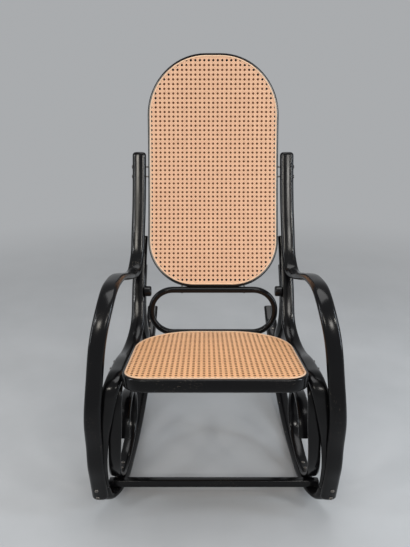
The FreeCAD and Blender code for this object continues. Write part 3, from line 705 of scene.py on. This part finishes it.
def lathe(points, faces, uvs, seat, axis, profile, steps=24):
    # Turns (reach along the axis, radius) pairs round the axis from the seat
    axis = Vector(axis).normalized()
    first = axis.orthogonal().normalized()
    second = axis.cross(first)
    base = len(points)
    for reach, radius in profile:
        for step in range(steps):
            angle = 2 * math.pi * step / steps
            sideways = first * math.cos(angle) + second * math.sin(angle)
            points.append(tuple(Vector(seat) + axis * reach + sideways * radius))
            uvs.append((reach, angle * radius))
    add_quads(faces, base, len(profile), steps)
    faces.append(tuple(base + (len(profile) - 1) * steps + step for step in range(steps)))


def add_slotted_head(points, faces, uvs, seat, outward, turn):
    # Two halves of a dome with a slot between them, on a thin disc
    outward = Vector(outward).normalized()
    first = outward.orthogonal().normalized()
    first.rotate(Quaternion(outward, turn))
    second = outward.cross(first)
    half_slot, disc = 0.6, 0.9
    rim = 14
    layers = [
        (disc, 1.0),
        (disc + 0.6, 0.96),
        (disc + 1.1, 0.80),
        (HEAD_HEIGHT - 0.1, 0.52),
        (HEAD_HEIGHT, 0.2),
    ]
    disc_profile = [(0.0, HEAD_RADIUS), (disc, HEAD_RADIUS), (disc + 0.05, HEAD_RADIUS - 0.3)]
    lathe(points, faces, uvs, seat, outward, disc_profile)
    start = math.asin(half_slot / HEAD_RADIUS)
    for flip in (1, -1):
        base = len(points)
        for height, share in layers:
            for step in range(rim):
                angle = start + (math.pi - 2 * start) * step / (rim - 1)
                u = HEAD_RADIUS * share * math.cos(angle)
                v = max(half_slot, HEAD_RADIUS * share * math.sin(angle))
                place = Vector(seat) + outward * height + (first * u + second * v) * flip
                points.append(tuple(place))
                uvs.append((u, v))
        add_quads(faces, base, len(layers), rim)
        faces.append(tuple(base + (len(layers) - 1) * rim + step for step in range(rim)))


def screws(name, node, places):
    # Each place is (seat of the head, direction into the wood, depth of the shank)
    points, faces, uvs = [], [], []
    rng = np.random.default_rng(len(node))
    for seat, inward, depth in places:
        inward = Vector(inward).normalized()
        shank = [(0.0, SCREW_RADIUS), (depth - SCREW_POINT, SCREW_RADIUS), (depth, SCREW_TIP)]
        lathe(points, faces, uvs, seat, inward, shank, 12)
        add_slotted_head(points, faces, uvs, seat, -inward, rng.uniform(0, math.pi))
    return mesh_object(name, points, faces, uvs, METAL, [node])


def both_sides(places_of):
    return places_of(-1) + places_of(1)


def above_and_below(middle):
    return middle - SCREW_PITCH / 2, middle + SCREW_PITCH / 2


def runner_inward(y, z):
    return 0.0, -ROLLING_LINE - y, RUNNER_RADIUS - z


def foot_screws(sign):
    surface = -STRIP_STEP - STRIP_THICKNESS / 2
    inward = (0.0, math.cos(FOOT_LEAN), math.sin(FOOT_LEAN))
    x = sign * (FOOT_SPREAD + 5.0)
    places = []
    for height in above_and_below(FOOT_JOINT):
        places.append(((x, *foot_point(height, surface)), inward, STRIP_SCREW_DEPTH))
    return places


def scroll_screws(sign):
    places = []
    for forward in above_and_below(SCROLL_FORWARD):
        y, z = runner_point(-forward, STRIP_THICKNESS / 2 + SCROLL_THICKNESS + 2 * GAP)
        away = [-part for part in runner_inward(y, z)]
        places.append(((sign * (SCROLL_X + SCROLL_TURN), y, z), away, SCROLL_SCREW_DEPTH))
    return places


def strut_screws(sign):
    places = []
    surface = STRIP_THICKNESS / 2 + 2 * GAP
    for upward in above_and_below(40.0):
        y, z = back_point(upward, STRIP_THICKNESS / 2 + 2 * (STRIP_STEP + 2 * GAP) + surface)
        inner = back_point(upward, 0)
        inward = (0.0, inner[0] - y, inner[1] - z)
        places.append(((sign * (BESIDE_BACK + STRUT_OUTWARD), y, z), inward, STRIP_SCREW_DEPTH))
    for rearward in above_and_below(RUNNER_TAIL - 98.0):
        y, z = runner_point(rearward, STRIP_STEP + surface)
        away = [-part for part in runner_inward(y, z)]
        places.append(((sign * runner_x(rearward), y, z), away, STRIP_SCREW_DEPTH))
    return places


def stretcher_screws(sign):
    y, z = runner_point(-STRETCHER_FORWARD, -STRIP_THICKNESS / 2)
    return [((sign * STRETCHER_SCREW_X, y, z), runner_inward(y, z), STRIP_SCREW_DEPTH)]


def seat_bolts(sign):
    x = sign * (BESIDE_SEAT + BULGED_WIDTH / 2)
    inward = (-sign, 0.0, 0.0)
    places = []
    for rearward in (SEAT_BOLT_REACH, SEAT_BOLT_REACH + 2 * SCREW_PITCH):
        places.append(((x, *seat_point(rearward, -SEAT_RUN_DROP)), inward, FRAME_BOLT_DEPTH))
    return places


def back_bolts(sign):
    x = sign * (BESIDE_BACK + UPRIGHT_OUTWARD + BULGED_WIDTH / 2)
    inward = (-sign, 0.0, 0.0)
    places = []
    for below in above_and_below(2 * SCREW_PITCH):
        seat = (x, *back_point(UPRIGHT_REACH - below, STRIP_THICKNESS / 2))
        places.append((seat, inward, FRAME_BOLT_DEPTH))
    return places


def ring_bolts(sign):
    x = sign * RING_BOLT_SPREAD
    under_back = (x, RING_FRONT + RING_DEPTH / 2 + 3.0, RING_FOOT + RING_HEIGHT - RING_BAR)
    behind_seat = (x, RING_FRONT + RING_DEPTH, RING_FOOT + RING_BAR / 2)
    return [(under_back, (0.0, 0.0, 1.0), RING_BOLT_DEPTH), (behind_seat, (0.0, -1.0, 0.0), RING_BOLT_DEPTH)]


def add_stretcher():
    # A bar with eased edges whose ends are rounded off a little
    y, z = runner_point(-STRETCHER_FORWARD, STRIP_THICKNESS / 2 + GAP)
    upward = Vector(runner_inward(y, z)).normalized()
    forward = upward.cross(Vector((1.0, 0.0, 0.0)))
    middle = Vector((0.0, y, z)) + upward * (STRETCHER_HEIGHT / 2)
    section = bar_section(STRETCHER_DEPTH, STRETCHER_HEIGHT, 4.5, 0.5)
    eased, end_marks, plain_end = 3.0, 5, 20.0
    marks = []
    for angle in np.linspace(0, math.pi / 2, end_marks):
        marks.append((-STRETCHER_HALF + eased * (1 - math.cos(angle)), 1 - math.sin(angle)))
    marks += [(x, 0.0) for x in np.linspace(-STRETCHER_HALF + plain_end, STRETCHER_HALF - plain_end, 40)]
    marks += [(-x, sunk) for x, sunk in reversed(marks[:end_marks])]
    points, uvs = [], []
    for x, sunk in marks:
        for a, b in section * (1 - 2 * eased * sunk / STRETCHER_DEPTH):
            points.append(tuple(middle + Vector((x, 0.0, 0.0)) + forward * a + upward * b))
            uvs.append((x, a + b))
    count = len(section)
    faces = [tuple(range(count))]
    add_quads(faces, 0, len(marks), count)
    faces.append(tuple((len(marks) - 1) * count + k for k in reversed(range(count))))
    mesh_object("front_stretcher_bar", points, faces, uvs, WORN_LACQUER, ["front_stretcher"])


def add_peg(side, sign):
    # A turned button with a domed end, on the inner side of the side band
    y, z = back_point(-PEG_DROP, STRIP_THICKNESS / 2 + STRIP_STEP - PEG_RADIUS)
    points, faces, uvs = [], [], []
    profile = [(0.0, PEG_RADIUS), (1.0, PEG_RADIUS)]
    for angle in np.linspace(0, math.pi / 2, 7):
        reach = PEG_LENGTH - PEG_DOME + PEG_DOME * math.sin(angle)
        radius = PEG_RADIUS - PEG_DOME + PEG_DOME * math.cos(angle)
        profile.append((reach, radius))
    profile += [(PEG_LENGTH, radius) for radius in (8.0, 5.0, 2.0)]
    lathe(points, faces, uvs, (sign * (BACK_WIDTH / 2 + PEG_OUTWARD), y, z), (-sign, 0.0, 0.0), profile, 32)
    mesh_object(f"peg_{side}_turned", points, faces, uvs, LACQUER, [f"peg_{side}"])


def reed_section():
    # A round that stands on a flat foot in the groove
    section = []
    for angle in np.linspace(0, math.pi, 9):
        section.append((REED_MIDDLE + REED_HALF * math.cos(angle), REED_LIFT + REED_RISE * math.sin(angle)))
    return section + [(REED_MIDDLE - REED_HALF, REED_FOOT), (REED_MIDDLE + REED_HALF, REED_FOOT)]


def back_place(v, height):
    return back_point(v, -height)


def ring_place(v, height):
    return RING_FRONT - height, RING_FOOT + v


# Each strip's section is its width, thickness, edge rounding and crown
WOOD = (BULGED_WIDTH, STRIP_THICKNESS, 7.0, 2.6)
THIN = (SCROLL_WIDTH, SCROLL_THICKNESS, 5.0, 1.4)
EASED, ROUND_TOPPED = (3.0, 3.0), (9.0, 4.0)
STRIPS = (
    ("arm_upright", arm_stations, WOOD, WORN_LACQUER, ROUND_TOPPED),
    ("side_band", band_stations, WOOD, LACQUER, EASED),
    ("runner", runner_stations, WOOD, WORN_LACQUER, EASED),
    ("rear_strut", strut_stations, WOOD, LACQUER, EASED),
    ("scroll", scroll_stations, THIN, LACQUER, EASED),
)
for side, sign in (("left", -1), ("right", 1)):
    for kind, stations, section_size, material, end_rounding in STRIPS:
        node = f"{kind}_{side}"
        swept_strip(f"{node}_bent", stations(), sign, section_size, material, node, end_rounding)
    add_peg(side, sign)
add_stretcher()

# Roundings of a frame's section are (top, bottom) of its outer and then of its inner side
SEAT_SECTION = frame_section(SEAT_BAR, SEAT_RIM, (4.5, 9.0), (1.5, 3.0))
BACK_SECTION = frame_section(BACK_BAR, BACK_DEPTH, (3.0, 8.0), (1.5, 3.0))
RING_SECTION = frame_section(RING_BAR, RING_DEPTH, (7.0, 7.0), (7.0, 7.0))
swept_frame("seat_rim", SEAT, SEAT_SECTION, seat_point, WORN_LACQUER, "seat_frame")
swept_frame("back_rim", BACK, BACK_SECTION, back_place, LACQUER, "back_frame")
swept_frame("lumbar_ring_bent", RING, RING_SECTION, ring_place, LACQUER, "lumbar_ring")
swept_frame("seat_reed_round", SEAT, reed_section(), seat_point, REED, "seat_reed")
swept_frame("back_reed_round", BACK, reed_section(), back_place, REED, "back_reed")

pitch_steps = 4
weave("seat_cane_weave", SEAT, WEAVE_INSET, seat_point, ["seat_cane"], WEAVE_LEVEL, pitch_steps, 11,
      SEAT_CANE_PAINTED_LIGHT)
weave("back_cane_weave", BACK, WEAVE_INSET, back_place, ["back_cane"], WEAVE_LEVEL, pitch_steps, 12, CANE)
weave("seat_cane_underside", SEAT, SEAT_BAR - 1, seat_point, [], REAR_LEVEL, REAR_STEPS, 13, SEAT_CANE_PAINTED_LIGHT, -1.0)
weave("back_cane_rear", BACK, BACK_BAR - 1, back_place, [], REAR_LEVEL, REAR_STEPS, 14, CANE, -1.0)
# Sheets of painted shade behind the cane, so that its holes look dark
painted_shade_sheet("seat_cane_painted_shade", SEAT, WEAVE_INSET, seat_point, PAINTED_SHADE_HEIGHT)
painted_shade_sheet("back_cane_painted_shade", BACK, WEAVE_INSET, back_place, PAINTED_SHADE_HEIGHT)

FASTENERS = (
    ("foot_screw", foot_screws),
    ("scroll_screw", scroll_screws),
    ("strut_screw", strut_screws),
    ("stretcher_screw", stretcher_screws),
    ("seat_bolt", seat_bolts),
    ("back_bolt", back_bolts),
    ("ring_bolt", ring_bolts),
)
for kind, places_of in FASTENERS:
    screws(f"{kind}_heads", f"{kind}s", both_sides(places_of))


# Floor, light and camera

BACKGROUND = (0.40, 0.411, 0.423, 1.0)
FLOOR_NEAR, FLOOR_FAR, FLOOR_HALF = 1.0, 3.2, 12
SENSOR_WIDTH, FOCAL_PIXELS, PICTURE_WIDTH = 36.0, 550, 410
# Each lamp is (name, place, height of its target, size, power, colour)
LAMPS = (
    ("front_left", (-1.0, -3.0, 2.1), 0.75, (0.6, 0.5), 20.0, (1.0, 0.95, 0.86)),
    ("front_right", (1.0, -3.0, 2.1), 0.75, (0.6, 0.5), 20.0, (1.0, 0.97, 0.92)),
    ("side_right", (2.1, -0.9, 1.1), 0.6, (0.25, 1.5), 26.0, (0.80, 0.90, 1.0)),
    ("side_left", (-2.1, -0.9, 1.1), 0.6, (0.20, 1.3), 14.0, (0.92, 0.96, 1.0)),
    ("glint_left", (-1.7, -1.9, 1.9), 0.6, (0.16, 0.16), 7.0, (1.0, 1.0, 1.0)),
    ("glint_right", (1.7, -1.9, 1.9), 0.6, (0.16, 0.16), 7.0, (1.0, 0.98, 0.92)),
    ("top", (0.2, -0.3, 3.0), 0.4, (1.6, 1.6), 34.0, (1.0, 1.0, 1.0)),
)


def seen_directly(nodes, links):
    # One for rays from the camera, from gloss and through glass
    rays = nodes.new("ShaderNodeLightPath").outputs
    camera_or_gloss = combine(nodes, links, "MAXIMUM", rays["Is Camera Ray"], rays["Is Glossy Ray"])
    return combine(nodes, links, "MAXIMUM", camera_or_gloss, rays["Is Transmission Ray"])


def floor_material():
    # A pale matt floor that passes into the background's colour away from the chair
    material = plain_noise_material("pale_floor", (0.385, 0.396, 0.408), (0.42, 0.431, 0.444), 3.0, 0.6)
    nodes, links = material.node_tree.nodes, material.node_tree.links
    coordinates = nodes.new("ShaderNodeTexCoord")
    length = add_node(nodes, "ShaderNodeVectorMath", operation="LENGTH")
    links.new(coordinates.outputs["Object"], length.inputs[0])
    far = add_node(nodes, "ShaderNodeMapRange", interpolation_type="SMOOTHSTEP")
    far.inputs["From Min"].default_value = FLOOR_NEAR
    far.inputs["From Max"].default_value = FLOOR_FAR
    links.new(length.outputs["Value"], far.inputs["Value"])
    share = combine(nodes, links, "MULTIPLY", far.outputs["Result"], seen_directly(nodes, links))
    glow = add_node(nodes, "ShaderNodeEmission", Color=BACKGROUND, Strength=1.0)
    mix = nodes.new("ShaderNodeMixShader")
    links.new(share, mix.inputs["Fac"])
    links.new(nodes["Principled BSDF"].outputs["BSDF"], mix.inputs[1])
    links.new(glow.outputs["Emission"], mix.inputs[2])
    links.new(mix.outputs["Shader"], nodes["Material Output"].inputs["Surface"])
    return material


def add_floor():
    mesh = bpy.data.meshes.new("floor")
    corners = [(x * FLOOR_HALF, y * FLOOR_HALF, 0) for x, y in ((-1, -1), (1, -1), (1, 1), (-1, 1))]
    mesh.from_pydata(corners, [], [(0, 1, 2, 3)])
    mesh.materials.append(floor_material())
    floor = bpy.data.objects.new("floor", mesh)
    bpy.context.scene.collection.objects.link(floor)


def add_area(name, place, target, size, power, colour):
    light = bpy.data.lights.new(name, "AREA")
    light.shape = "RECTANGLE"
    light.size, light.size_y = size
    light.energy = power
    light.color = colour
    lamp = bpy.data.objects.new(name, light)
    lamp.location = place
    lamp.rotation_euler = (Vector(target) - Vector(place)).to_track_quat("-Z", "Y").to_euler()
    bpy.context.scene.collection.objects.link(lamp)


def add_world():
    world = bpy.data.worlds.new("studio")
    bpy.context.scene.world = world
    world.use_nodes = True
    nodes, links = world.node_tree.nodes, world.node_tree.links
    nodes.clear()
    output = nodes.new("ShaderNodeOutputWorld")
    seen = add_node(nodes, "ShaderNodeBackground", Color=BACKGROUND, Strength=1.0)
    light = add_node(nodes, "ShaderNodeBackground", Color=(1.0, 1.0, 1.0, 1.0), Strength=0.42)
    mix = nodes.new("ShaderNodeMixShader")
    links.new(seen_directly(nodes, links), mix.inputs["Fac"])
    links.new(light.outputs["Background"], mix.inputs[1])
    links.new(seen.outputs["Background"], mix.inputs[2])
    links.new(mix.outputs["Shader"], output.inputs["Surface"])


def add_camera():
    camera = bpy.data.cameras.new("camera")
    camera.sensor_fit = "HORIZONTAL"
    camera.sensor_width = SENSOR_WIDTH
    camera.lens = SENSOR_WIDTH * FOCAL_PIXELS / PICTURE_WIDTH
    viewer = bpy.data.objects.new("camera", camera)
    viewer.location = (-0.0235, (-1430.0 + SHIFT) * MM, 1.060)
    viewer.rotation_euler = (math.radians(71.0), 0.0, 0.0)
    bpy.context.scene.collection.objects.link(viewer)
    bpy.context.scene.camera = viewer


add_floor()
for name, place, aim, size, power, colour in LAMPS:
    add_area(name, place, (0.0, 0.0, aim), size, power, colour)
add_world()
add_camera()
bpy.context.scene.view_settings.view_transform = "Standard"
